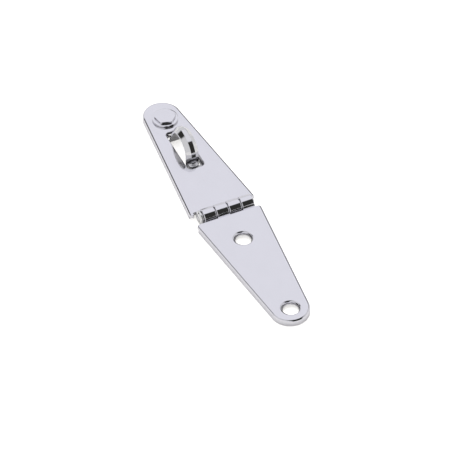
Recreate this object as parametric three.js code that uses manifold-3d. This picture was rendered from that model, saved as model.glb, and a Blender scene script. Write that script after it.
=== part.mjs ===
// Strap-hinge hasp in polished stainless steel: a screw-down hinge leaf, a swinging strap
// that closes over a padlock staple, and the small base plate that carries the staple.
// Millimetres. The origin lies on the mounting surface, midway between the two tips.
// +X runs along the hinge pin, +Y towards the strap's tip, +Z up from the surface.
import * as THREE from 'three';
import { mergeVertices } from 'three/addons/utils/BufferGeometryUtils.js';
import Module from 'manifold-3d';

const wasm = await Module();
wasm.setup();

// ---- Driving dimensions ----------------------------------------------------------------

const LENGTH = 130.5;            // tip to tip, strap closed
const WIDTH = 27;                // both leaves at their widest, beside the pin
const TIP_RADIUS = 7.6;          // round end of each leaf
const HEIGHT = 3.1;              // top face above the mounting surface
const SHEET = 1.4;               // thickness of the drawn sheet
const EDGE_ROUND = 1.0;          // rounded upper edge of each leaf

const STRAP_WIDE_AT = 2.4;       // distance from the origin where the strap is WIDTH wide
const LEAF_WIDE_AT = 4.8;        // the same for the screwed leaf
const STRAP_EAR_END = 1.1;       // the strap's two corners reach past the barrel to here
const STRAP_EDGE = 2.4;          // the strap's edge along the barrel
const LEAF_EDGE = 4.1;           // the screwed leaf's edge, on the other side of the pin
const SIDE_WALL_START = 3.0;     // the strap's side walls stop here, short of the barrel
const LEAF_WALL_START = 5.6;     // the same for the screwed leaf
const CORNER_RADIUS = 1.2;

const PIN_Y = -0.8;
const PIN_Z = 2.9;
const PIN_RADIUS = 1.3;
const PIN_START = -11.8;
const PIN_DOME = 0.5;            // rounded left end
const PIN_HEAD_RADIUS = 1.8;
const PIN_HEAD_THICK = 0.4;
const COLLAR_RADIUS = 2.7;
const COLLAR_LENGTH = 1.5;
const COLLAR_RIM = 0.7;          // straight part beside the barrel
const BORE_RADIUS = 1.5;
const BARREL_RADIUS = 2.9;
const BARREL_START = -9.8;
const BARREL_END = 11.3;
const KNUCKLES = 4;              // strap, leaf, strap, leaf
const KNUCKLE_GAP = 0.2;
const KNUCKLE_BEVEL = 0.15;
const NOTCH_MARGIN = 0.6;        // between the barrel's right end and the strap's ear
const NOTCH_LEFT = -12.1;        // the left ear starts here, beyond the collar


const SCREW_HOLES = [[-0.3, -17.8], [0, -58.4]];
const HOLE_RADIUS = 3.0;         // narrowest part of a leaf's screw hole
const HOLE_MOUTH = 4.15;
const HOLE_LIP = [[0.7, -0.4], [0.42, -0.12], [0, 0]];  // rolled edge: inwards of the mouth, height
const SEAT_RADIUS = 5.2;         // pressed-down ring of sheet around each hole, underneath
const SEAT_DROP = 0.4;
const SEAT_LAND = 0.2;           // straight part of the hole, at its bottom

const STAPLE_WIDTH = 5.3;        // along X
const STAPLE_THICK = 2.1;
const STAPLE_EDGE = 0.9;         // rounded long edges of the bar
const STAPLE_NEAR = 28.7;        // centre line of the upright leg, nearer the pin
const STAPLE_FAR = 46.0;         // centre line of the sloping leg at the surface
const STAPLE_CREST_Y = 36.2;
const STAPLE_CREST_Z = 11.3;     // centre line of the bar at its highest
const STAPLE_BEND = 5.2;         // height of the centre line where the legs run into the arch
const STAPLE_FAR_BEND_Y = 43.7;
const STAPLE_FOOT = 0.1;
const FOOT_RADIUS = 2.3;         // round weld foot of the upright leg, on the base plate
const FOOT_BOTTOM = 1.5;
const FOOT_TOP = 2.1;

const SLOT_HALF_WIDTH = 3.5;
const SLOT_NEAR = 24.6;
const SLOT_FAR = 47.4;
const SLOT_CORNER = 1.6;

const PLATE_THICK = 1.2;
const PLATE_START = 12.5;
const PLATE_END = 51.0;
const PLATE_CLEARANCE = 0.6;     // inside the strap's side walls
const WINDOW_HALF_WIDTH = 3.1;   // the plate is open between the staple's legs
const WINDOW_CLEARANCE = 0.3;
const WINDOW_CORNER = 0.4;
const PLATE_SCREWS = [[-4.8, 18.4], [4.8, 18.4], [0, 49.2]];
const PLATE_HOLE_RADIUS = 1.4;

const STUD_Y = 54.8;
const FLANGE_RADIUS = 5.1;
const FLANGE_THICK = 0.85;
const HEX_CORNER_RADIUS = 4.35;
const HEX_HEIGHT = 1.9;          // top of the head above the strap's face
const HEX_TURN = -17;            // degrees; as the head happened to stop
const SHANK_RADIUS = 2.0;
const SHANK_CLEARANCE = 0.3;
const SHANK_BOTTOM = 0.6;
const FLANGE_EDGE = 0.7;         // upright rim of the flange
const CROWN = [[4.35, -0.25], [3.85, 0]];  // radius and height of the head's chamfer
const TAIL_RADIUS = 2.7;         // washer under the strap's skin
const WASHER_BOTTOM = 0.8;
const FIT_GAP = 0.1;             // between faces that rest on each other

const PAST = 1.0;                // how far a cutter runs past the face it cuts
const JOIN = 0.2;                // how far two joined solids reach into each other

const SIDES = 32;                // facets of a full circle
const TIP_FACETS = 10;           // curve divisions of a leaf's outline
const CORNER_FACETS = 2;         // curve divisions of a small rounded corner

// ---- Solids ----------------------------------------------------------------------------

function toSolid(geometry) {
  const bare = geometry.clone();
  for (const name of ['normal', 'uv']) bare.deleteAttribute(name);
  const merged = mergeVertices(bare, 1e-5);
  const triVerts = new Uint32Array(merged.index.array);
  const vertProperties = new Float32Array(merged.attributes.position.array);
  return new wasm.Manifold(new wasm.Mesh({ numProp: 3, vertProperties, triVerts }));
}

function toGeometry(solid) {
  const { vertProperties, triVerts } = solid.getMesh();
  const geometry = new THREE.BufferGeometry();
  geometry.setAttribute('position', new THREE.BufferAttribute(new Float32Array(vertProperties), 3));
  geometry.setIndex(new THREE.BufferAttribute(new Uint32Array(triVerts), 1));
  const flat = geometry.toNonIndexed();
  flat.computeVertexNormals();
  return flat;
}

function box(min, max) {
  const size = max.map((value, i) => value - min[i]);
  const geometry = new THREE.BoxGeometry(...size);
  geometry.translate(...min.map((value, i) => value + size[i] / 2));
  return toSolid(geometry);
}

/** A flat outline raised from z = bottom to z = top. */
function prism(shape, bottom, top, curveSegments = TIP_FACETS) {
  const geometry = new THREE.ExtrudeGeometry(shape, {
    depth: top - bottom, bevelEnabled: false, curveSegments,
  });
  geometry.translate(0, 0, bottom);
  return toSolid(geometry);
}

/** The same, from z = 0, with its upper edge rounded. */
function roundedPrism(shape, top, round) {
  const geometry = new THREE.ExtrudeGeometry(shape, {
    depth: top - round, curveSegments: TIP_FACETS,
    bevelThickness: round, bevelSize: round, bevelOffset: -round, bevelSegments: 3,
  });
  const below = box([-LENGTH, -LENGTH, -2 * round], [LENGTH, LENGTH, 0]);
  return toSolid(geometry).subtract(below);
}

/** A solid turned around the Z axis from [radius, z] points, moved to (x, y). */
function turned(profile, x = 0, y = 0, sides = SIDES) {
  const points = profile.map(([radius, z]) => new THREE.Vector2(radius, z));
  const geometry = new THREE.LatheGeometry(points, sides);
  geometry.rotateX(Math.PI / 2);
  geometry.translate(x, y, 0);
  return toSolid(geometry);
}

/** A solid turned around the pin's axis from [radius, x] points. */
function turnedOnPin(profile, sides = SIDES) {
  const points = profile.map(([radius, x]) => new THREE.Vector2(radius, x));
  const geometry = new THREE.LatheGeometry(points, sides);
  geometry.rotateZ(-Math.PI / 2);
  geometry.translate(0, PIN_Y, PIN_Z);
  return toSolid(geometry);
}

const cylinder = (radius, bottom, top, x = 0, y = 0) =>
  turned([[0, bottom], [radius, bottom], [radius, top], [0, top]], x, y);

/** A ring whose [radius, z] section closes on itself. */
const ring = (inner, outer, bottom, top, x = 0, y = 0) =>
  turned([[inner, bottom], [outer, bottom], [outer, top], [inner, top], [inner, bottom]], x, y);

// ---- Outlines --------------------------------------------------------------------------

/** Slope of a leaf's straight side, so that it runs tangent into the round tip. */
function sideAngle(wideAt) {
  const reach = LENGTH / 2 - TIP_RADIUS - wideAt;
  const span = Math.hypot(WIDTH / 2, reach);
  return Math.atan2(WIDTH / 2, reach) - Math.asin(TIP_RADIUS / span);
}

/** Half the leaf's width at distance y from the origin, moved in by inset. */
function halfWidth(y, wideAt, inset = 0) {
  const slope = sideAngle(wideAt);
  const tipCentre = LENGTH / 2 - TIP_RADIUS;
  const radius = TIP_RADIUS - inset;
  return (radius + (tipCentre - y) * Math.sin(slope)) / Math.cos(slope);
}

/** A leaf's outline from its hinge edge to its tip, moved in by inset; the tip points to +Y. */
function leafOutline({ wideAt, hingeEdge, inset = 0, corner = 0 }) {
  const slope = sideAngle(wideAt);
  const tipCentre = LENGTH / 2 - TIP_RADIUS;
  const radius = TIP_RADIUS - inset;
  const half = halfWidth(hingeEdge, wideAt, inset);
  const shape = new THREE.Shape();
  shape.moveTo(-half + corner, hingeEdge);
  shape.lineTo(half - corner, hingeEdge);
  if (corner > 0) {
    const sideX = halfWidth(hingeEdge + corner, wideAt, inset);
    shape.quadraticCurveTo(half, hingeEdge, sideX, hingeEdge + corner);
  }
  shape.absarc(0, tipCentre, radius, slope, Math.PI - slope, false);
  if (corner > 0) {
    const sideX = halfWidth(hingeEdge + corner, wideAt, inset);
    shape.lineTo(-sideX, hingeEdge + corner);
    shape.quadraticCurveTo(-half, hingeEdge, -half + corner, hingeEdge);
  }
  shape.closePath();
  return shape;
}

function roundedRectangle(x0, y0, x1, y1, radius) {
  const shape = new THREE.Shape();
  shape.absarc(x1 - radius, y0 + radius, radius, -Math.PI / 2, 0, false);
  shape.absarc(x1 - radius, y1 - radius, radius, 0, Math.PI / 2, false);
  shape.absarc(x0 + radius, y1 - radius, radius, Math.PI / 2, Math.PI, false);
  shape.absarc(x0 + radius, y0 + radius, radius, Math.PI, 1.5 * Math.PI, false);
  shape.closePath();
  return shape;
}

// ---- Leaves ----------------------------------------------------------------------------

/** A drawn shell with its tip towards +Y: skin on top, walls down the sides and round the tip. */
function leafShell({ wideAt, hingeEdge, wallStart }) {
  const pastEdge = hingeEdge - 3 * PAST;
  const outside = roundedPrism(leafOutline({ wideAt, hingeEdge: pastEdge }), HEIGHT, EDGE_ROUND);
  const trim = leafOutline({ wideAt, hingeEdge, inset: -PAST / 2, corner: CORNER_RADIUS });
  const hollow = leafOutline({ wideAt, hingeEdge: pastEdge - PAST, inset: SHEET });
  const underSkin = HEIGHT - SHEET;
  const openEnd = box([-WIDTH, pastEdge - PAST, -PAST], [WIDTH, wallStart, underSkin]);
  return outside
    .intersect(prism(trim, -PAST, HEIGHT + PAST))
    .subtract(prism(hollow, -PAST, underSkin))
    .subtract(openEnd);
}

/** Start and end of a knuckle along X, counted from 0 at the left. */
function knuckleSpan(index) {
  const pitch = (BARREL_END - BARREL_START) / KNUCKLES;
  const start = BARREL_START + index * pitch;
  return [start + KNUCKLE_GAP / 2, start + pitch - KNUCKLE_GAP / 2];
}

/** Rolled tube around the pin, with the tongue of sheet that runs into it from edgeY. */
function knuckle(index, edgeY) {
  const [start, end] = knuckleSpan(index);
  const tube = turnedOnPin([
    [0, start], [BARREL_RADIUS - KNUCKLE_BEVEL, start], [BARREL_RADIUS, start + KNUCKLE_BEVEL],
    [BARREL_RADIUS, end - KNUCKLE_BEVEL], [BARREL_RADIUS - KNUCKLE_BEVEL, end], [0, end],
  ]);
  const towardsPin = Math.sign(edgeY - PIN_Y);
  const innerY = PIN_Y + towardsPin * (BORE_RADIUS + 2 * JOIN);
  const outerY = edgeY + towardsPin * 3 * JOIN;
  const tongue = box(
    [start, Math.min(innerY, outerY), HEIGHT - SHEET],
    [end, Math.max(innerY, outerY), HEIGHT],
  );
  return tube.add(tongue);
}

function withKnuckles(shell, indexes, edgeY) {
  const bore = turnedOnPin([
    [0, BARREL_START - PAST], [BORE_RADIUS, BARREL_START - PAST],
    [BORE_RADIUS, BARREL_END + PAST], [0, BARREL_END + PAST],
  ]);
  const joined = indexes.reduce((body, index) => body.add(knuckle(index, edgeY)), shell);
  return joined.subtract(bore);
}

function hingeLeaf() {
  const shape = { wideAt: LEAF_WIDE_AT, hingeEdge: LEAF_EDGE, wallStart: LEAF_WALL_START };
  let leaf = leafShell(shape).rotate([0, 0, 180]);
  const skinBottom = HEIGHT - SHEET;
  const seatBottom = skinBottom - SEAT_DROP;
  for (const [x, y] of SCREW_HOLES) {
    leaf = leaf.add(cylinder(SEAT_RADIUS, seatBottom, skinBottom + JOIN, x, y));
    leaf = leaf.subtract(turned([
      [0, seatBottom - PAST], [HOLE_RADIUS, seatBottom - PAST], [HOLE_RADIUS, seatBottom + SEAT_LAND],
      ...HOLE_LIP.map(([inwards, z]) => [HOLE_MOUTH - inwards, HEIGHT + z]),
      [HOLE_MOUTH, HEIGHT + PAST], [0, HEIGHT + PAST],
    ], x, y));
  }
  return withKnuckles(leaf, [1, 3], -LEAF_EDGE);
}

function haspStrap() {
  const shape = { wideAt: STRAP_WIDE_AT, hingeEdge: STRAP_EAR_END, wallStart: SIDE_WALL_START };
  const notch = box(
    [NOTCH_LEFT, PIN_Y - BARREL_RADIUS, -PAST],
    [BARREL_END + NOTCH_MARGIN, STRAP_EDGE, HEIGHT + PAST],
  );
  const slot = roundedRectangle(-SLOT_HALF_WIDTH, SLOT_NEAR, SLOT_HALF_WIDTH, SLOT_FAR, SLOT_CORNER);
  const strap = leafShell(shape)
    .subtract(notch)
    .subtract(prism(slot, -PAST, HEIGHT + PAST, CORNER_FACETS))
    .subtract(cylinder(SHANK_RADIUS + SHANK_CLEARANCE, -PAST, HEIGHT + PAST, 0, STUD_Y));
  return withKnuckles(strap, [0, 2], STRAP_EDGE);
}

// ---- Pin and collar --------------------------------------------------------------------

/** The pin, with its low riveted head at the right and its plain domed end at the left. */
function hingePin() {
  const headStart = BARREL_END + FIT_GAP;
  const headEnd = headStart + PIN_HEAD_THICK;
  return turnedOnPin([
    [0, PIN_START], [PIN_RADIUS * 0.6, PIN_START + 0.1], [PIN_RADIUS, PIN_START + PIN_DOME],
    [PIN_RADIUS, headStart], [PIN_HEAD_RADIUS, headStart],
    [PIN_HEAD_RADIUS, headStart + PIN_HEAD_THICK / 3],
    [PIN_HEAD_RADIUS * 0.65, headEnd], [0, headEnd],
  ]);
}

/** Domed collar that closes the left end of the barrel. */
function pinCollar() {
  const right = BARREL_START - FIT_GAP;
  const inner = PIN_RADIUS + FIT_GAP;
  const dome = [];
  for (const degrees of [0, 30, 60, 90]) {
    const angle = THREE.MathUtils.degToRad(degrees);
    dome.push([
      inner + (COLLAR_RADIUS - inner) * Math.sin(angle),
      right - COLLAR_RIM - (COLLAR_LENGTH - COLLAR_RIM) * Math.cos(angle),
    ]);
  }
  return turnedOnPin([[inner, right], ...dome, [COLLAR_RADIUS, right], [inner, right]]);
}

// ---- Staple and its base plate ---------------------------------------------------------

/** Upright near leg, a round arch, and a far leg that splays towards the strap's tip. */
function stapleCentreLine() {
  const point = (y, z) => new THREE.Vector3(0, y, z);
  const nearTop = point(STAPLE_NEAR, STAPLE_BEND);
  const crest = point(STAPLE_CREST_Y, STAPLE_CREST_Z);
  const farTop = point(STAPLE_FAR_BEND_Y, STAPLE_BEND);
  const foot = point(STAPLE_FAR, STAPLE_FOOT);
  const splay = foot.clone().sub(farTop).normalize();
  const rise = STAPLE_CREST_Z - STAPLE_BEND;
  const roundness = 0.56;          // of a quarter circle drawn as a cubic curve
  const line = new THREE.CurvePath();
  line.add(new THREE.LineCurve3(point(STAPLE_NEAR, STAPLE_FOOT), nearTop));
  line.add(new THREE.CubicBezierCurve3(
    nearTop, point(STAPLE_NEAR, STAPLE_BEND + roundness * rise),
    point(STAPLE_CREST_Y - roundness * (STAPLE_CREST_Y - STAPLE_NEAR), STAPLE_CREST_Z), crest,
  ));
  line.add(new THREE.CubicBezierCurve3(
    crest, point(STAPLE_CREST_Y + roundness * (STAPLE_FAR_BEND_Y - STAPLE_CREST_Y), STAPLE_CREST_Z),
    farTop.clone().addScaledVector(splay, -roundness * rise), farTop,
  ));
  line.add(new THREE.LineCurve3(farTop, foot));
  return line;
}

/** Flat bar with rounded edges, bent into a loop in the YZ plane, on a round weld foot. */
function padlockStaple() {
  const section = roundedRectangle(
    -STAPLE_THICK / 2, -STAPLE_WIDTH / 2, STAPLE_THICK / 2, STAPLE_WIDTH / 2, STAPLE_EDGE,
  );
  const bar = toSolid(new THREE.ExtrudeGeometry(section, {
    extrudePath: stapleCentreLine(), steps: 36, curveSegments: CORNER_FACETS,
  }));
  const floor = box([-WIDTH, 0, -HEIGHT], [WIDTH, LENGTH, STAPLE_FOOT]);
  return bar.subtract(floor).add(cylinder(FOOT_RADIUS, FOOT_BOTTOM, FOOT_TOP, 0, STAPLE_NEAR));
}

function stapleBasePlate() {
  const inset = SHEET + PLATE_CLEARANCE;
  const nearHalf = halfWidth(PLATE_START, STRAP_WIDE_AT, inset);
  const farHalf = halfWidth(PLATE_END, STRAP_WIDE_AT, inset);
  const outline = new THREE.Shape([
    new THREE.Vector2(-nearHalf, PLATE_START), new THREE.Vector2(nearHalf, PLATE_START),
    new THREE.Vector2(farHalf, PLATE_END), new THREE.Vector2(-farHalf, PLATE_END),
  ]);
  const window = roundedRectangle(
    -WINDOW_HALF_WIDTH, STAPLE_NEAR - STAPLE_THICK / 2 - WINDOW_CLEARANCE,
    WINDOW_HALF_WIDTH, STAPLE_FAR + STAPLE_THICK / 2 + WINDOW_CLEARANCE, WINDOW_CORNER,
  );
  let plate = prism(outline, 0, PLATE_THICK)
    .subtract(prism(window, -PAST, PLATE_THICK + PAST, CORNER_FACETS));
  for (const [x, y] of PLATE_SCREWS) {
    plate = plate.subtract(cylinder(PLATE_HOLE_RADIUS, -PAST, PLATE_THICK + PAST, x, y));
  }
  return plate;
}

// ---- Hex stud --------------------------------------------------------------------------

/** Flanged hex head with a shank through the strap's skin. */
function hexStud() {
  const base = HEIGHT + FIT_GAP;
  const top = HEIGHT + HEX_HEIGHT;
  const hexagon = new THREE.Shape();
  for (let i = 0; i < 6; i += 1) {
    const angle = THREE.MathUtils.degToRad(HEX_TURN + 60 * i);
    const move = i === 0 ? 'moveTo' : 'lineTo';
    hexagon[move](HEX_CORNER_RADIUS * Math.cos(angle), HEX_CORNER_RADIUS * Math.sin(angle));
  }
  hexagon.closePath();
  const crown = CROWN.map(([radius, z]) => [radius, top + z]);
  const chamfer = turned([[0, base], [HEX_CORNER_RADIUS, base], ...crown, [0, top]]);
  const flange = turned([
    [0, base], [FLANGE_RADIUS, base], [FLANGE_RADIUS, base + FLANGE_EDGE],
    [HEX_CORNER_RADIUS, base + FLANGE_THICK], [0, base + FLANGE_THICK],
  ]);
  const shank = cylinder(SHANK_RADIUS, SHANK_BOTTOM, base + JOIN);
  const head = prism(hexagon, base + JOIN, top + PAST).intersect(chamfer);
  return head.add(flange).add(shank).translate([0, STUD_Y, 0]);
}

const studWasher = () =>
  ring(SHANK_RADIUS + FIT_GAP, TAIL_RADIUS, WASHER_BOTTOM, HEIGHT - SHEET - FIT_GAP, 0, STUD_Y);

// ---- Assembly --------------------------------------------------------------------------

const steel = (color, roughness) =>
  new THREE.MeshStandardMaterial({ color, roughness, metalness: 1 });

const polished = 0xd6d6de;
const group = new THREE.Group();

function addPart(name, solid, material) {
  const mesh = new THREE.Mesh(toGeometry(solid), material);
  mesh.name = name;
  group.add(mesh);
}

addPart('hinge_leaf', hingeLeaf(), steel(polished, 0.12));
addPart('hasp_strap', haspStrap(), steel(polished, 0.12));
addPart('hinge_pin', hingePin(), steel(0xc4c4c8, 0.2));
addPart('pin_collar', pinCollar(), steel(0xdcdcd8, 0.2));
addPart('padlock_staple', padlockStaple(), steel(polished, 0.1));
addPart('staple_base_plate', stapleBasePlate(), steel(0xa8a8ac, 0.35));
addPart('hex_stud', hexStud(), steel(polished, 0.12));
addPart('stud_washer', studWasher(), steel(0xa8a8ac, 0.35));

export default group;
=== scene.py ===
"""Strap-hinge hasp in polished stainless steel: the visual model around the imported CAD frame.

Shapes are built in millimetres, +X along the pin, +Y towards the strap's tip and +Z up, and are
scaled to metres last.
"""

import math

import bmesh
import bpy
from mathutils import Matrix, Vector


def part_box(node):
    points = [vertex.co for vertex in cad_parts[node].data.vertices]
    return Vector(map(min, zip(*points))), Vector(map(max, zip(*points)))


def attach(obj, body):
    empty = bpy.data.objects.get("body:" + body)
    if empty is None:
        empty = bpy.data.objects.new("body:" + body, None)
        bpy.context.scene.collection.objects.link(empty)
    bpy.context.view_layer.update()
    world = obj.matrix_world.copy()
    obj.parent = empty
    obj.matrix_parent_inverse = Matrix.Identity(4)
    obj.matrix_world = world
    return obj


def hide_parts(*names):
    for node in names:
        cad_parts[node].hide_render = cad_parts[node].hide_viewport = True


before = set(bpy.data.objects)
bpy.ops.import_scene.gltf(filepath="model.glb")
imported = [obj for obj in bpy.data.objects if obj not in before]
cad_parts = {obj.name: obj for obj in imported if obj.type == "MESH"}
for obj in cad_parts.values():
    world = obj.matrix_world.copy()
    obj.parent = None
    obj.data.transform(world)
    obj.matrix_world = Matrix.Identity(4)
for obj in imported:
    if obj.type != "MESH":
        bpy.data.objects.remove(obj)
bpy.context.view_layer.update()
MM = 0.001


# ---- Places that come from the frame ---------------------------------------------------

def box_mm(node):
    """Lowest and highest corner of a CAD node, in millimetres."""
    low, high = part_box(node)
    return low / MM, high / MM


strap_high = box_mm("hasp_strap")[1]
pin_low, pin_high = box_mm("hinge_pin")
collar_low, collar_high = box_mm("pin_collar")
staple_low, staple_high = box_mm("padlock_staple")
plate_low, plate_high = box_mm("staple_base_plate")
stud_low, stud_high = box_mm("hex_stud")
washer_low, washer_high = box_mm("stud_washer")

# ---- Driving dimensions ----------------------------------------------------------------

HALF_LENGTH = strap_high.y
HALF_WIDTH = 13.5                # beside the pin
TIP_RADIUS = 7.6
HEIGHT = 3.1                     # top face above the mounting surface
SHEET = 1.4
EDGE_ROUND = 1.0                 # drawn upper edge of each leaf
INNER_ROUND = 0.5
CUT_ROUND = 0.2                  # deburred edges
CORNER = 1.2

STRAP_WIDE_AT = 2.4              # where the strap is widest
LEAF_WIDE_AT = 4.8
STRAP_EAR_END = 1.1
STRAP_EDGE = 2.4                 # edges of the two leaves along the barrel
LEAF_EDGE = 4.1
STRAP_WALL_START = 3.0           # side walls stop here, short of the barrel
LEAF_WALL_START = 5.6
NOTCH_LEFT = -12.1               # the strap's left ear starts here, beyond the collar
NOTCH_MARGIN = 0.6               # between the barrel's right end and the strap's right ear
NOTCH_START = -5.0

PIN_RADIUS = 1.3
PIN_Y = -0.8
PIN_Z = 2.9
BORE_RADIUS = 1.5
BARREL_RADIUS = 2.9
BARREL_START = -9.8
BARREL_END = 11.3
KNUCKLES = 4                     # strap, leaf, strap, leaf
KNUCKLE_GAP = 0.2
KNUCKLE_LIP = 0.4                # rounded ends of a knuckle
BORE_LIP = 0.12
ROLL_FILLET = 0.3                # where the sheet turns up into a knuckle
TONGUE_RISE = 0.2                # the sheet's end inside the tube's wall
TONGUE_PAST_BORE = 0.5
TONGUE_OVERLAP = 0.8             # how far it reaches into the leaf
PIN_DOME = 0.5
PIN_TIP_FLAT = 0.15              # flat middle of the dome, of its radius
PIN_HEAD_RADIUS = 1.8
PIN_HEAD_EDGE = 0.05
COLLAR_BEAD = 0.55               # the collar's side towards the barrel is rounded too
COLLAR_MOUTH = 0.1               # chamfer where the pin's end shows

SCREW_HOLES = ((-0.3, -17.8), (0, -58.4))
HOLE_RADIUS = 3.0
HOLE_MOUTH = 4.15
HOLE_LIP = 0.8                   # rolled edge of the hole
HOLE_NECK = 0.3                  # height of the narrow part
HOLE_BURR = 0.15                 # rounding underneath
CUTTER_FLARE = 0.01              # the hole's cutter widens this much above the top face
SEAT_RADIUS = 5.2
SEAT_DROP = 0.4
SEAT_INSET = 0.3
SEAT_EDGE = 0.2
SEAT_LEAN = 0.05                 # its side leans in upwards

SLOT_HALF_WIDTH = 3.5
SLOT_NEAR = 24.6
SLOT_FAR = 47.4
SLOT_CORNER = 1.6

STAPLE_THICK = 2.1
STAPLE_FLAT = 0.8                # half the flat strip along the bar's outer side
STAPLE_SHOULDER = (1.65, 1.25)   # sloping shoulder beside it: reach and drop
STAPLE_CREASE = 0.3              # rounding between the flat strip and a shoulder
STAPLE_EDGE = 0.25               # long edges of its inner side
STAPLE_NEAR = 28.7               # centre line of the upright leg
STAPLE_FAR = 46.0                # centre line of the splayed leg at the surface
STAPLE_CREST_Y = 36.2
STAPLE_BEND = 5.2                # height where the legs run into the arch
STAPLE_FAR_BEND_Y = 43.7
STAPLE_ROUNDNESS = 0.56          # near 0.55 the arch is close to a circle's
FOOT_BOTTOM = 1.5                # weld foot of the upright leg
FOOT_TOP = 2.1
FOOT_CHAMFER = 0.1
FOOT_RIM = 0.5
FOOT_HOLLOW = 0.6

HEX_CORNER_RADIUS = 4.35
HEX_TURN = -17                   # degrees
HEX_SOFTNESS = 0.16              # rounding of the head's upright edges
HEX_FOOT = (0.1, 0.06)           # small slope where the head meets its flange: reach and height
CROWN_RADIUS = 3.85
CROWN_DROP = 0.25
FLANGE_THICK = 0.85
FLANGE_UNDER_FLAT = 0.1          # the flat underside ends this far inside the rim
FLANGE_UNDER_EDGE = 0.06
FLANGE_EDGE = 0.12
FLANGE_FALL = (0.04, 0.03)       # the flange's top lies this much lower, at its rim and by the head
SHANK_RADIUS = 2.0
SHANK_CLEARANCE = 0.3
SHANK_CHAMFER = 0.25
WASHER_EDGE = 0.12

WINDOW_HALF_WIDTH = 3.1
WINDOW_START = 27.35             # clear of the staple's legs
WINDOW_END = 47.35
WINDOW_CORNER = 0.4
PLATE_CLEARANCE = 0.6            # inside the strap's walls
PLATE_BEVEL = 0.15
PLATE_LIP = 0.1
PLATE_SCREWS = ((-4.8, 18.4), (4.8, 18.4), (0, 49.2))
PLATE_HOLE_RADIUS = 1.4
PLATE_SINK = 0.9                 # countersink

PAST = 1.0                       # how far a cutter runs past the face it cuts
HOLLOW_OVERRUN = 4.0             # and past a leaf's open end
JOIN = 0.2                       # how far two joined solids reach into each other
FIT_GAP = 0.1                    # between faces that rest on each other


# ---- Camera, floor and light -----------------------------------------------------------

CAMERA_DISTANCE = 1.36806
CAMERA_AZIMUTH = -25.006
CAMERA_ELEVATION = 44.513
CAMERA_LENS = 285.55
AIM_RIGHT = 0.00069              # the object sits a little off the picture's centre
AIM_UP = -0.00477

FLOOR_HALF_SIZE = 3.0
FLOOR_PAINT = (0.90, 0.89, 0.87)
FLOOR_LIGHT = (1.0, 0.99, 0.965)
FLOOR_GLOW = 0.02                # the floor's own light
FLOOR_GLOW_SEEN = 0.65           # and what is added where the floor itself is in the picture
SKY_BRIGHT = (0.83, 0.83, 0.885)
SKY_DARK = (0.03, 0.03, 0.028)
SKY_SIDE = (0.72, 0.72, 0.74)
SOFTBOX_CENTRE = (0, 0.35, 0.937)    # the middle of the lit part of the studio
SOFTBOX_RIM = (0.73, 0.79)           # it fades out between these cosines of the angle to it
DARK_LEAN = 0.2                      # in front, the dim zone lies a little towards +X
DARK_TAPER = 0.25                    # and is narrower than behind
DARK_BEHIND = 0.16
DARK_RIM = (0.60, 0.68)
SUN_STRENGTH = 1.3
SUN_SPREAD = 70                  # degrees
SUN_TILT = (-20, 8)              # degrees around X and Y


def make_camera():
    azimuth = math.radians(CAMERA_AZIMUTH)
    elevation = math.radians(CAMERA_ELEVATION)
    back = Vector((
        math.sin(azimuth) * math.cos(elevation),
        -math.cos(azimuth) * math.cos(elevation),
        math.sin(elevation),
    ))
    right = (-back).cross(Vector((0, 0, 1))).normalized()
    up = right.cross(-back)
    aim = right * AIM_RIGHT + up * AIM_UP
    data = bpy.data.cameras.new("camera")
    data.lens = CAMERA_LENS
    data.sensor_width = 36
    data.clip_start = 0.05
    data.clip_end = 20
    camera = bpy.data.objects.new("camera", data)
    camera.matrix_world = (
        Matrix.Translation(aim + back * CAMERA_DISTANCE)
        @ Matrix((right, up, back)).transposed().to_4x4()
    )
    bpy.context.scene.collection.objects.link(camera)
    bpy.context.scene.camera = camera


def new_material(name):
    material = bpy.data.materials.new(name)
    material.use_nodes = True
    return material, material.node_tree.nodes, material.node_tree.links


def make_floor():
    """A pale floor that is white in the picture and a soft grey where the steel mirrors it."""
    material, nodes, links = new_material("floor_white")
    shader = nodes["Principled BSDF"]
    shader.inputs["Base Color"].default_value = (*FLOOR_PAINT, 1)
    shader.inputs["Roughness"].default_value = 0.9
    shader.inputs["Emission Color"].default_value = (*FLOOR_LIGHT, 1)
    glow = nodes.new("ShaderNodeMapRange")
    glow.inputs["To Min"].default_value = FLOOR_GLOW
    glow.inputs["To Max"].default_value = FLOOR_GLOW + FLOOR_GLOW_SEEN
    links.new(nodes.new("ShaderNodeLightPath").outputs["Is Camera Ray"], glow.inputs["Value"])
    links.new(glow.outputs["Result"], shader.inputs["Emission Strength"])
    half = FLOOR_HALF_SIZE
    bm = bmesh.new()
    corners = [(-half, -half), (half, -half), (half, half), (-half, half)]
    bm.faces.new([bm.verts.new((x, y, 0)) for x, y in corners])
    floor = object_from("floor", bm)
    floor.data.materials.append(material)


def smooth_step(nodes, links, value, limits):
    step = nodes.new("ShaderNodeMapRange")
    step.interpolation_type = "SMOOTHSTEP"
    step.inputs["From Min"].default_value = limits[0]
    step.inputs["From Max"].default_value = limits[1]
    links.new(value, step.inputs["Value"])
    return step.outputs["Result"]


def blend_colours(nodes, links, factor, first, second):
    mix = nodes.new("ShaderNodeMix")
    mix.data_type = "RGBA"
    for socket, colour in (("A", first), ("B", second)):
        if isinstance(colour, tuple):
            mix.inputs[socket].default_value = (*colour, 1)
        else:
            links.new(colour, mix.inputs[socket])
    links.new(factor, mix.inputs["Factor"])
    return mix.outputs["Result"]


def maths(nodes, links, operation, *values):
    """A Math node; each value is a number or another node's output."""
    node = nodes.new("ShaderNodeMath")
    node.operation = operation
    for i, value in enumerate(values):
        if isinstance(value, float):
            node.inputs[i].default_value = value
        else:
            links.new(value, node.inputs[i])
    return node.outputs["Value"]


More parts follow.
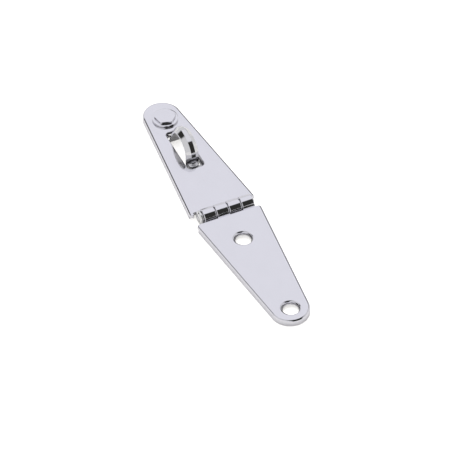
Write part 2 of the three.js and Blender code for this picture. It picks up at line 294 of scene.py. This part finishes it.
def make_studio():
    """A soft light overhead, pale walls around, and a dim zone low in front and behind."""
    bpy.context.scene.view_settings.view_transform = "Standard"
    world = bpy.data.worlds.new("studio")
    bpy.context.scene.world = world
    world.use_nodes = True
    nodes, links = world.node_tree.nodes, world.node_tree.links
    direction = nodes.new("ShaderNodeTexCoord").outputs["Generated"]
    dot = nodes.new("ShaderNodeVectorMath")
    dot.operation = "DOT_PRODUCT"
    dot.inputs[1].default_value = SOFTBOX_CENTRE
    links.new(direction, dot.inputs[0])
    overhead = smooth_step(nodes, links, dot.outputs["Value"], SOFTBOX_RIM)
    axes = nodes.new("ShaderNodeSeparateXYZ")
    links.new(direction, axes.inputs["Vector"])
    x, y = axes.outputs["X"], axes.outputs["Y"]
    in_front = maths(nodes, links, "MINIMUM", y, 0.0)
    leaning = maths(nodes, links, "MULTIPLY_ADD", in_front, DARK_LEAN, x)
    aside = maths(nodes, links, "ABSOLUTE", leaning)
    beside = maths(nodes, links, "MULTIPLY_ADD", y, -DARK_TAPER, aside)
    behind = maths(nodes, links, "SUBTRACT", y, DARK_BEHIND)
    around = maths(nodes, links, "MAXIMUM", beside, behind)
    sides = smooth_step(nodes, links, around, DARK_RIM)
    surroundings = blend_colours(nodes, links, sides, SKY_DARK, SKY_SIDE)
    sky = blend_colours(nodes, links, overhead, surroundings, SKY_BRIGHT)
    links.new(sky, nodes["Background"].inputs["Color"])

    data = bpy.data.lights.new("soft_sun", "SUN")
    data.energy = SUN_STRENGTH
    data.angle = math.radians(SUN_SPREAD)
    sun = bpy.data.objects.new("soft_sun", data)
    sun.rotation_euler = (math.radians(SUN_TILT[0]), math.radians(SUN_TILT[1]), 0)
    sun.visible_glossy = False
    bpy.context.scene.collection.objects.link(sun)


# ---- Mesh helpers ----------------------------------------------------------------------

CIRCLE_SIDES = 96
LIP_STEPS = 5                    # steps of a small rounded edge
RECTANGLE_STEPS = 8              # and of a rounded corner in a cut
MERGE_DISTANCE = 2e-7            # metres
SLIVER_LENGTH = 1e-7
SHARP_ANGLE = 35                 # degrees; steeper edges stay sharp in the shading


def object_from(name, bm):
    """A linked object that holds this mesh, with its faces pointing out."""
    bmesh.ops.recalc_face_normals(bm, faces=bm.faces)
    mesh = bpy.data.meshes.new(name)
    bm.to_mesh(mesh)
    bm.free()
    obj = bpy.data.objects.new(name, mesh)
    bpy.context.scene.collection.objects.link(obj)
    return obj


def loft(name, loops, closed=False):
    """A solid through loops of points. Its ends are capped, or joined when it is closed."""
    bm = bmesh.new()
    rows = [[bm.verts.new(point) for point in loop] for loop in loops]
    pairs = list(zip(rows, rows[1:]))
    if closed:
        pairs.append((rows[-1], rows[0]))
    else:
        bm.faces.new(list(reversed(rows[0])))
        bm.faces.new(rows[-1])
    for low, high in pairs:
        for i, corner in enumerate(low):
            j = (i + 1) % len(low)
            bm.faces.new((corner, low[j], high[j], high[i]))
    return object_from(name, bm)


def combine(base, other, operation):
    """Joins other to base, or cuts it out of base. Other is used up."""
    modifier = base.modifiers.new("combine", "BOOLEAN")
    modifier.operation = operation
    modifier.solver = "EXACT"
    modifier.object = other
    evaluated = base.evaluated_get(bpy.context.evaluated_depsgraph_get())
    base.data = bpy.data.meshes.new_from_object(evaluated)
    base.modifiers.clear()
    bpy.data.objects.remove(other)
    return base


def block(low, high):
    """A plain box, for cutting."""
    def level(z):
        return [
            (low[0], low[1], z), (high[0], low[1], z),
            (high[0], high[1], z), (low[0], high[1], z),
        ]
    return loft("block", [level(low[2]), level(high[2])])


def circle(radius, x, y):
    angles = [2 * math.pi * i / CIRCLE_SIDES for i in range(CIRCLE_SIDES)]
    return [(x + radius * math.cos(a), y + radius * math.sin(a)) for a in angles]


def raised(outline, z):
    return [(x, y, z) for x, y in outline]


def turned(name, profile, x=0.0, y=0.0, closed=False):
    """A solid turned around an upright axis from (radius, z) points."""
    return loft(name, [raised(circle(radius, x, y), z) for radius, z in profile], closed)


def turned_on_pin(name, profile, closed=False):
    """A solid turned around the pin's axis from (radius, x) points."""
    loops = [[(x, py, pz) for py, pz in circle(radius, PIN_Y, PIN_Z)] for radius, x in profile]
    return loft(name, loops, closed)


def arc(centre, radius, start, end, steps):
    """Points on an arc between two angles in degrees."""
    angles = [math.radians(start + (end - start) * i / steps) for i in range(steps + 1)]
    return [(centre[0] + radius * math.cos(a), centre[1] + radius * math.sin(a)) for a in angles]


def lip_levels(bottom, top, rounding):
    """(z, growth) of a cutter that leaves both edges of its hole rounded."""
    angles = [math.pi / 2 * i / LIP_STEPS for i in range(LIP_STEPS + 1)]
    levels = [(bottom - PAST, rounding)]
    for angle in angles:
        levels.append((
            bottom + rounding * (1 - math.cos(angle)),
            rounding * (1 - math.sin(angle)),
        ))
    for angle in angles:
        levels.append((
            top - rounding * (1 - math.sin(angle)),
            rounding * (1 - math.cos(angle)),
        ))
    levels.append((top + PAST, rounding))
    return levels


def rounded_rectangle(low, high, radius, growth):
    """Outline of a rounded rectangle, anticlockwise, moved out by growth."""
    left, near = low[0] + radius, low[1] + radius
    right, far = high[0] - radius, high[1] - radius
    corners = ((right, near, -90), (right, far, 0), (left, far, 90), (left, near, 180))
    outline = []
    for x, y, start in corners:
        outline += arc((x, y), radius + growth, start, start + 90, RECTANGLE_STEPS)
    return outline


def cut_rectangle(piece, low, high, corner, bottom, top, lip):
    """Cuts a rounded rectangle with softened edges through a piece."""
    levels = lip_levels(bottom, top, lip)
    loops = [raised(rounded_rectangle(low, high, corner, growth), z) for z, growth in levels]
    return combine(piece, loft("opening", loops), "DIFFERENCE")


def finish_piece(obj, body, node, material, sharp=SHARP_ANGLE):
    """Scales a piece to metres, smooths it and puts it in place of its CAD node."""
    mesh = obj.data
    mesh.transform(Matrix.Scale(MM, 4))
    bm = bmesh.new()
    bm.from_mesh(mesh)
    bmesh.ops.remove_doubles(bm, verts=bm.verts, dist=MERGE_DISTANCE)
    bmesh.ops.dissolve_degenerate(bm, edges=bm.edges, dist=SLIVER_LENGTH)
    bmesh.ops.recalc_face_normals(bm, faces=bm.faces)
    bm.to_mesh(mesh)
    bm.free()
    mesh.polygons.foreach_set("use_smooth", [True] * len(mesh.polygons))
    mesh.set_sharp_from_angle(angle=math.radians(sharp))
    normals = obj.modifiers.new("flat faces stay flat", "WEIGHTED_NORMAL")
    normals.mode = "FACE_AREA"
    normals.weight = 100
    normals.keep_sharp = True
    mesh.materials.clear()
    mesh.materials.append(material)
    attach(obj, body)
    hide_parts(node)


# ---- Materials -------------------------------------------------------------------------

GRAIN = (900, 90, 900)           # how finely the polishing lines repeat along each axis
TINT_LOW = 0.965                 # range of the colour's unevenness
TINT_HIGH = 1.025


def steel(name, colour, roughness, spread, scratch_depth):
    """Stainless steel with faint polishing lines, uneven polish and a little haze."""
    material, nodes, links = new_material(name)
    shader = nodes["Principled BSDF"]
    shader.inputs["Metallic"].default_value = 1.0
    place = nodes.new("ShaderNodeTexCoord").outputs["Object"]

    stretch = nodes.new("ShaderNodeMapping")
    stretch.inputs["Scale"].default_value = GRAIN
    links.new(place, stretch.inputs["Vector"])
    lines = nodes.new("ShaderNodeTexNoise")
    lines.inputs["Scale"].default_value = 6.0
    lines.inputs["Detail"].default_value = 4.0
    links.new(stretch.outputs["Vector"], lines.inputs["Vector"])

    haze = nodes.new("ShaderNodeTexNoise")
    haze.inputs["Scale"].default_value = 160.0
    haze.inputs["Detail"].default_value = 5.0
    haze.inputs["Roughness"].default_value = 0.6
    links.new(place, haze.inputs["Vector"])

    darker = tuple(c * TINT_LOW for c in colour)
    lighter = tuple(min(1.0, c * TINT_HIGH) for c in colour)
    tint = blend_colours(nodes, links, haze.outputs["Fac"], darker, lighter)
    links.new(tint, shader.inputs["Base Color"])

    half_haze = maths(nodes, links, "MULTIPLY", haze.outputs["Fac"], 0.5)
    both = maths(nodes, links, "MULTIPLY_ADD", lines.outputs["Fac"], 0.5, half_haze)
    polish = nodes.new("ShaderNodeMapRange")
    polish.inputs["From Min"].default_value = 0.3
    polish.inputs["From Max"].default_value = 0.7
    polish.inputs["To Min"].default_value = roughness - spread
    polish.inputs["To Max"].default_value = roughness + spread
    links.new(both, polish.inputs["Value"])
    links.new(polish.outputs["Result"], shader.inputs["Roughness"])

    bump = nodes.new("ShaderNodeBump")
    bump.inputs["Strength"].default_value = 1.0
    bump.inputs["Distance"].default_value = scratch_depth * MM
    links.new(lines.outputs["Fac"], bump.inputs["Height"])
    links.new(bump.outputs["Normal"], shader.inputs["Normal"])
    return material


# ---- Leaves ----------------------------------------------------------------------------

CORNER_STEPS = 8
TIP_STEPS = 72
EDGE_STEPS = 10
INNER_STEPS = 4
LOWER_EDGE = ((0.3, 0.7), (1.0, 1.0))    # its rounding: height and outward reach, of CUT_ROUND
TIP_CENTRE = HALF_LENGTH - TIP_RADIUS


def taper(wide_at):
    """How far a leaf's straight sides lean in, in radians."""
    reach = TIP_CENTRE - wide_at
    return math.atan2(HALF_WIDTH, reach) - math.asin(TIP_RADIUS / math.hypot(HALF_WIDTH, reach))


def half_width_at(y, slope, radius):
    """Half the width at y between straight sides that touch a tip of this radius."""
    return (radius + (TIP_CENTRE - y) * math.sin(slope)) / math.cos(slope)


def leaf_outline(wide_at, end, inset):
    """A leaf's outline from its hinge edge at y = end to its round tip, moved in by inset."""
    slope = taper(wide_at)
    radius = TIP_RADIUS - inset
    degrees = math.degrees(slope)
    tip = arc((0, TIP_CENTRE), radius, degrees, 180 - degrees, TIP_STEPS)
    side = Vector((half_width_at(end + CORNER, slope, radius), end + CORNER))
    widest = half_width_at(end, slope, radius)
    control = Vector((widest, end))
    edge = Vector((widest - CORNER, end))
    right = []
    for i in range(CORNER_STEPS + 1):
        t = i / CORNER_STEPS
        right.append(edge * (1 - t) ** 2 + control * 2 * t * (1 - t) + side * t ** 2)
    left = [Vector((-point.x, point.y)) for point in reversed(right)]
    return tip + [tuple(point) for point in left + right]


def faced(outline, facing):
    """The same outline, or turned half round for the leaf that points to -Y."""
    return [(facing * x, facing * y) for x, y in outline]


def leaf_shell(name, wide_at, end, wall_start, facing):
    """A drawn shell: skin on top, walls down its sides and round its tip, open at the hinge."""
    def level(z, inset, cut):
        return raised(faced(leaf_outline(wide_at, end + cut, inset), facing), z)

    loops = [level(0, CUT_ROUND, 0)]
    for z, inset in LOWER_EDGE:
        loops.append(level(CUT_ROUND * z, CUT_ROUND * (1 - inset), 0))
    for i in range(EDGE_STEPS + 1):
        angle = math.pi / 2 * i / EDGE_STEPS
        z = HEIGHT - EDGE_ROUND * (1 - math.sin(angle))
        into_cut = max(0.0, z - (HEIGHT - CUT_ROUND))
        cut = CUT_ROUND - math.sqrt(max(0.0, CUT_ROUND ** 2 - into_cut ** 2))
        loops.append(level(z, EDGE_ROUND * (1 - math.cos(angle)), cut))
    shell = loft(name, loops)

    under_skin = HEIGHT - SHEET
    open_end = end - HOLLOW_OVERRUN
    hollow = [raised(faced(leaf_outline(wide_at, open_end, SHEET), facing), -PAST)]
    for i in range(INNER_STEPS + 1):
        angle = math.pi / 2 * i / INNER_STEPS
        z = under_skin - INNER_ROUND * (1 - math.sin(angle))
        inset = SHEET + INNER_ROUND * (1 - math.cos(angle))
        hollow.append(raised(faced(leaf_outline(wide_at, open_end, inset), facing), z))
    combine(shell, loft("hollow", hollow), "DIFFERENCE")
    near, far = sorted((facing * open_end, facing * wall_start))
    unwalled = block((-2 * HALF_WIDTH, near, -PAST), (2 * HALF_WIDTH, far, under_skin))
    return combine(shell, unwalled, "DIFFERENCE")


def knuckle_span(index):
    pitch = (BARREL_END - BARREL_START) / KNUCKLES
    start = BARREL_START + index * pitch
    return start + KNUCKLE_GAP / 2, start + pitch - KNUCKLE_GAP / 2


def knuckle(index, edge_y):
    """Rolled tube around the pin, with the sheet that runs into it over a small fillet."""
    start, end = knuckle_span(index)
    side = math.copysign(1, edge_y - PIN_Y)
    rim = BARREL_RADIUS - KNUCKLE_LIP
    bore = BORE_RADIUS + BORE_LIP
    profile = (
        arc((rim, start + KNUCKLE_LIP), KNUCKLE_LIP, 270, 360, LIP_STEPS)
        + arc((rim, end - KNUCKLE_LIP), KNUCKLE_LIP, 0, 90, LIP_STEPS)
        + arc((bore, end - BORE_LIP), BORE_LIP, 90, 180, 3)
        + arc((bore, start + BORE_LIP), BORE_LIP, 180, 270, 3)
    )
    tube = turned_on_pin("knuckle", profile, closed=True)

    rise = HEIGHT + ROLL_FILLET - PIN_Z
    run = math.sqrt((BARREL_RADIUS + ROLL_FILLET) ** 2 - rise ** 2)
    centre = (PIN_Y + side * run, HEIGHT + ROLL_FILLET)
    towards_pin = math.degrees(math.atan2(-rise, -side * run))
    sweep = (-90 - towards_pin + 180) % 360 - 180
    top = arc(centre, ROLL_FILLET, towards_pin, towards_pin + sweep, 6)
    inner_y = PIN_Y + side * (BORE_RADIUS + TONGUE_PAST_BORE)
    outer_y = edge_y + side * TONGUE_OVERLAP
    section = [(inner_y, HEIGHT + TONGUE_RISE)] + top
    section += [(outer_y, HEIGHT), (outer_y, HEIGHT - SHEET), (inner_y, HEIGHT - SHEET)]
    loops = [[(x, y, z) for y, z in section] for x in (start, end)]
    return combine(tube, loft("tongue", loops), "UNION")


def add_knuckles(leaf, indexes, edge_y):
    for index in indexes:
        combine(leaf, knuckle(index, edge_y), "UNION")


def screw_hole_profile():
    """Cutter for a screw hole: a steep countersink under a rolled edge."""
    bottom = HEIGHT - SHEET - SEAT_DROP
    widest = HOLE_RADIUS + HOLE_BURR
    third = HOLE_BURR / 3
    profile = [(widest, bottom - PAST), (widest, bottom)]
    profile += [(HOLE_RADIUS + third, bottom + third), (HOLE_RADIUS, bottom + HOLE_BURR)]
    profile.append((HOLE_RADIUS, bottom + HOLE_NECK))
    profile += arc((HOLE_MOUTH, HEIGHT - HOLE_LIP), HOLE_LIP, 150, 90, 12)
    profile.append((HOLE_MOUTH + CUTTER_FLARE, HEIGHT + PAST))
    return profile


def make_hinge_leaf(material):
    leaf = leaf_shell("hinge_leaf_look", LEAF_WIDE_AT, LEAF_EDGE, LEAF_WALL_START, -1)
    skin_bottom = HEIGHT - SHEET
    seat_bottom = skin_bottom - SEAT_DROP
    rim = SEAT_RADIUS - SEAT_INSET
    seat = [(rim, seat_bottom)]
    seat += arc((rim, seat_bottom + SEAT_EDGE), SEAT_EDGE, 300, 360, 4)
    seat.append((SEAT_RADIUS - SEAT_LEAN, skin_bottom + JOIN))
    for x, y in SCREW_HOLES:
        combine(leaf, turned("seat", seat, x, y), "UNION")
        combine(leaf, turned("hole", screw_hole_profile(), x, y), "DIFFERENCE")
    add_knuckles(leaf, (1, 3), -LEAF_EDGE)
    finish_piece(leaf, "root", "hinge_leaf", material)


def make_hasp_strap(material):
    strap = leaf_shell("hasp_strap_look", STRAP_WIDE_AT, STRAP_EAR_END, STRAP_WALL_START, 1)
    notch_low = (NOTCH_LEFT, NOTCH_START, -PAST)
    notch_high = (BARREL_END + NOTCH_MARGIN, STRAP_EDGE, HEIGHT + PAST)
    combine(strap, block(notch_low, notch_high), "DIFFERENCE")
    skin_bottom = HEIGHT - SHEET
    slot_low = (-SLOT_HALF_WIDTH, SLOT_NEAR)
    slot_high = (SLOT_HALF_WIDTH, SLOT_FAR)
    cut_rectangle(strap, slot_low, slot_high, SLOT_CORNER, skin_bottom, HEIGHT, CUT_ROUND)
    stud_y = (stud_low.y + stud_high.y) / 2
    shank_hole = [
        (SHANK_RADIUS + SHANK_CLEARANCE + growth, z)
        for z, growth in lip_levels(skin_bottom, HEIGHT, CUT_ROUND)
    ]
    combine(strap, turned("shank_hole", shank_hole, 0, stud_y), "DIFFERENCE")
    add_knuckles(strap, (0, 2), STRAP_EDGE)
    finish_piece(strap, "strap", "hasp_strap", material)


# ---- Pin and collar --------------------------------------------------------------------

DOME_STEPS = 8
COLLAR_STEPS = 12


def make_hinge_pin(material):
    left = pin_low.x
    tip = [(PIN_RADIUS * PIN_TIP_FLAT, left)]
    for i in range(1, DOME_STEPS + 1):
        angle = math.pi / 2 * i / DOME_STEPS
        tip.append((PIN_RADIUS * math.sin(angle), left + PIN_DOME * (1 - math.cos(angle))))
    start = BARREL_END + FIT_GAP
    shoulder = start + PIN_HEAD_EDGE
    thick = pin_high.x - start
    head = [(PIN_RADIUS, start), (PIN_HEAD_RADIUS - PIN_HEAD_EDGE, start)]
    head.append((PIN_HEAD_RADIUS, shoulder))
    for i in range(1, DOME_STEPS):
        angle = math.pi / 2 * i / DOME_STEPS
        x = shoulder + (thick - PIN_HEAD_EDGE) * math.sin(angle)
        head.append((PIN_HEAD_RADIUS * math.cos(angle), x))
    pin = turned_on_pin("hinge_pin_look", tip + head)
    finish_piece(pin, "root", "hinge_pin", material)


def make_pin_collar(material):
    right = collar_high.x
    left = collar_low.x
    inner = PIN_RADIUS + FIT_GAP
    outer = (collar_high.z - collar_low.z) / 2
    start = inner + COLLAR_MOUTH
    profile = [(inner, right), (inner, left + COLLAR_MOUTH), (start, left)]
    for i in range(1, COLLAR_STEPS + 1):
        angle = math.pi / 2 * i / COLLAR_STEPS
        radius = start + (outer - start) * math.sin(angle)
        profile.append((radius, left + (right - COLLAR_BEAD - left) * (1 - math.cos(angle))))
    for radius, x in arc((outer - COLLAR_BEAD, -COLLAR_BEAD), COLLAR_BEAD, 0, 90, 8)[1:]:
        profile.append((radius, right + x))
    collar = turned_on_pin("pin_collar_look", profile, closed=True)
    finish_piece(collar, "root", "pin_collar", material)


# ---- Staple and base plate -------------------------------------------------------------

ARCH_STEPS = 32                  # for each half of the arch


def bezier(points, steps):
    """Points on a cubic Bezier curve, without its last one."""
    a, b, c, d = [Vector(point) for point in points]
    result = []
    for i in range(steps):
        t = i / steps
        result.append(
            a * (1 - t) ** 3 + b * 3 * t * (1 - t) ** 2 + c * 3 * t * t * (1 - t) + d * t ** 3
        )
    return result


def staple_centre_line():
    """(y, z) points: the upright near leg, a round arch and the splayed far leg."""
    crest_z = staple_high.z - STAPLE_THICK / 2
    near_top = Vector((STAPLE_NEAR, STAPLE_BEND))
    crest = Vector((STAPLE_CREST_Y, crest_z))
    far_top = Vector((STAPLE_FAR_BEND_Y, STAPLE_BEND))
    foot = Vector((STAPLE_FAR, staple_low.z))
    splay = (foot - far_top).normalized()
    rise = crest_z - STAPLE_BEND
    back_run = Vector((STAPLE_ROUNDNESS * (STAPLE_CREST_Y - STAPLE_NEAR), 0))
    front_run = Vector((STAPLE_ROUNDNESS * (STAPLE_FAR_BEND_Y - STAPLE_CREST_Y), 0))
    climb = Vector((0, STAPLE_ROUNDNESS * rise))
    near = [Vector((STAPLE_NEAR, staple_low.z)), Vector((STAPLE_NEAR, STAPLE_BEND / 2))]
    line = near + bezier([near_top, near_top + climb, crest - back_run, crest], ARCH_STEPS)
    far_climb = far_top - splay * climb.y
    line += bezier([crest, crest + front_run, far_climb, far_top], ARCH_STEPS)
    return line + [far_top, far_top.lerp(foot, 0.5), foot + splay * STAPLE_THICK]


def bar_section(half_width):
    """(x, t) outline of the bar, t pointing out of the arch: a flat strip between two shoulders."""
    top = STAPLE_THICK / 2
    reach, drop = STAPLE_SHOULDER
    slope = math.degrees(math.atan2(drop, reach))
    roll = (half_width - STAPLE_FLAT - reach) / (1 - math.sin(math.radians(slope)))
    lip = (half_width - roll, top - drop - roll * math.cos(math.radians(slope)))
    right = arc((half_width - STAPLE_EDGE, STAPLE_EDGE - top), STAPLE_EDGE, -90, 0, 6)
    right += arc(lip, roll, 0, 90 - slope, 8)
    right += arc((STAPLE_FLAT, top - STAPLE_CREASE), STAPLE_CREASE, 90 - slope, 90, 5)
    return right + [(-x, t) for x, t in reversed(right)]


def make_staple(material):
    line = staple_centre_line()
    section = bar_section((staple_high.x - staple_low.x) / 2)
    loops = []
    for i, point in enumerate(line):
        before = line[max(0, i - 1)]
        after = line[min(len(line) - 1, i + 1)]
        along = (after - before).normalized()
        out = Vector((-along.y, along.x))
        loops.append([(x, point.x + out.x * t, point.y + out.y * t) for x, t in section])
    staple = loft("padlock_staple_look", loops)
    below = block((-HALF_WIDTH, 0, -HEIGHT), (HALF_WIDTH, HALF_LENGTH, staple_low.z))
    combine(staple, below, "DIFFERENCE")
    radius = STAPLE_NEAR - staple_low.y
    foot = [(radius - FOOT_CHAMFER, FOOT_BOTTOM), (radius, FOOT_BOTTOM + FOOT_CHAMFER)]
    foot += arc((radius - FOOT_RIM, FOOT_TOP - FOOT_RIM), FOOT_RIM, 0, 90, 8)
    hollow_centre = (STAPLE_THICK / 2 + FOOT_HOLLOW, FOOT_TOP + FOOT_HOLLOW)
    foot += arc(hollow_centre, FOOT_HOLLOW, -90, -180, 8)
    combine(staple, turned("weld_foot", foot, 0, STAPLE_NEAR), "UNION")
    finish_piece(staple, "root", "padlock_staple", material)


def make_base_plate(material):
    bottom = plate_low.z
    top = plate_high.z
    slope = taper(STRAP_WIDE_AT)
    inset = SHEET + PLATE_CLEARANCE

    def level(z, growth):
        near = plate_low.y - growth
        far = plate_high.y + growth
        near_half = half_width_at(near, slope, TIP_RADIUS - inset + growth)
        far_half = half_width_at(far, slope, TIP_RADIUS - inset + growth)
        return [(-near_half, near, z), (near_half, near, z), (far_half, far, z), (-far_half, far, z)]

    loops = [level(bottom, -PLATE_BEVEL), level(bottom + PLATE_BEVEL, 0)]
    loops += [level(top - PLATE_BEVEL, 0), level(top, -PLATE_BEVEL)]
    plate = loft("staple_base_plate_look", loops)
    window_low = (-WINDOW_HALF_WIDTH, WINDOW_START)
    window_high = (WINDOW_HALF_WIDTH, WINDOW_END)
    cut_rectangle(plate, window_low, window_high, WINDOW_CORNER, bottom, top, PLATE_LIP)
    mouth = PLATE_HOLE_RADIUS + PLATE_SINK
    hole = [(PLATE_HOLE_RADIUS, bottom - PAST), (PLATE_HOLE_RADIUS, top - PLATE_SINK)]
    hole += [(mouth, top), (mouth, top + PAST)]
    for x, y in PLATE_SCREWS:
        combine(plate, turned("plate_hole", hole, x, y), "DIFFERENCE")
    finish_piece(plate, "root", "staple_base_plate", material)


# ---- Hex stud and washer ---------------------------------------------------------------

STUD_SIDES = 144
CROWN_STEPS = 12
STUD_SHARP_ANGLE = 28            # degrees; keeps the crown's edge crisp


def make_hex_stud(material):
    """Flanged hex head with a small rounded crown, on a plain shank."""
    centre_y = (stud_low.y + stud_high.y) / 2
    base = HEIGHT + FIT_GAP
    top = stud_high.z
    flange_radius = (stud_high.x - stud_low.x) / 2
    flat = HEX_CORNER_RADIUS * math.cos(math.pi / 6)

    def hexagon(angle):
        """Distance to the head's side, with its upright edges slightly rounded."""
        total = 0.0
        for k in range(6):
            across = math.cos(angle - math.radians(HEX_TURN + 30 + 60 * k))
            total += max(0.0, across / flat) ** (flat / HEX_SOFTNESS)
        return total ** (-HEX_SOFTNESS / flat)

    def loop(z, radius=None, limit=HEX_CORNER_RADIUS):
        """A round loop, or without a radius the head's own outline, cut off at the limit."""
        points = []
        for i in range(STUD_SIDES):
            angle = 2 * math.pi * i / STUD_SIDES + math.radians(HEX_TURN)
            reach = radius if radius is not None else min(hexagon(angle), limit)
            points.append((reach * math.cos(angle), centre_y + reach * math.sin(angle), z))
        return points

    shank_bottom = stud_low.z
    loops = [loop(shank_bottom, SHANK_RADIUS - SHANK_CHAMFER)]
    loops.append(loop(shank_bottom + SHANK_CHAMFER, SHANK_RADIUS))
    loops += [loop(base, SHANK_RADIUS), loop(base, flange_radius - FLANGE_UNDER_FLAT)]
    under = FLANGE_UNDER_EDGE
    for radius, z in arc((flange_radius - under, base + under), under, -60, 0, 3):
        loops.append(loop(z, radius))
    edge = FLANGE_EDGE
    flange_top = base + FLANGE_THICK
    rim_fall, head_fall = FLANGE_FALL
    for radius, z in arc((flange_radius - edge, flange_top - rim_fall - edge), edge, 0, 80, 6):
        loops.append(loop(z, radius))
    foot_reach, foot_height = HEX_FOOT
    loops.append(loop(flange_top - head_fall, HEX_CORNER_RADIUS + foot_reach))
    loops += [loop(flange_top), loop(flange_top + foot_height)]
    chamfer_start = top - CROWN_DROP
    loops.append(loop(chamfer_start))
    for i in range(1, CROWN_STEPS + 1):
        t = i / CROWN_STEPS
        limit = CROWN_RADIUS + (HEX_CORNER_RADIUS - CROWN_RADIUS) * math.sqrt(1 - t * t)
        loops.append(loop(chamfer_start + (top - chamfer_start) * t, limit=limit))
    stud = loft("hex_stud_look", loops)
    finish_piece(stud, "strap", "hex_stud", material, sharp=STUD_SHARP_ANGLE)


def make_stud_washer(material):
    inner = SHANK_RADIUS + FIT_GAP
    outer = (washer_high.x - washer_low.x) / 2
    low = washer_low.z
    high = washer_high.z
    rim = outer - WASHER_EDGE
    profile = [(inner, low), (inner, high), (rim, high)]
    profile += arc((rim, high - WASHER_EDGE), WASHER_EDGE, 80, 0, 3)
    profile += arc((rim, low + WASHER_EDGE), WASHER_EDGE, 0, -90, 3)
    centre_y = (washer_low.y + washer_high.y) / 2
    washer = turned("stud_washer_look", profile, 0, centre_y, closed=True)
    finish_piece(washer, "strap", "stud_washer", material)


# ---- The scene -------------------------------------------------------------------------

make_camera()
make_floor()
make_studio()

# Each steel: colour, roughness, how much that varies, and the depth of its lines in millimetres.
polished = (0.84, 0.835, 0.87)
make_hinge_leaf(steel("polished_leaf", polished, 0.10, 0.03, 0.0004))
make_hasp_strap(steel("polished_strap", polished, 0.10, 0.03, 0.0004))
make_hinge_pin(steel("drawn_pin", (0.70, 0.70, 0.71), 0.22, 0.06, 0.001))
make_pin_collar(steel("polished_collar", (0.86, 0.86, 0.85), 0.14, 0.04, 0.0005))
make_staple(steel("polished_staple", (0.80, 0.80, 0.81), 0.09, 0.03, 0.0006))
make_base_plate(steel("rolled_plate", (0.62, 0.62, 0.63), 0.36, 0.08, 0.003))
make_hex_stud(steel("polished_stud", polished, 0.10, 0.03, 0.0004))
make_stud_washer(steel("rolled_washer", (0.60, 0.60, 0.61), 0.40, 0.08, 0.003))
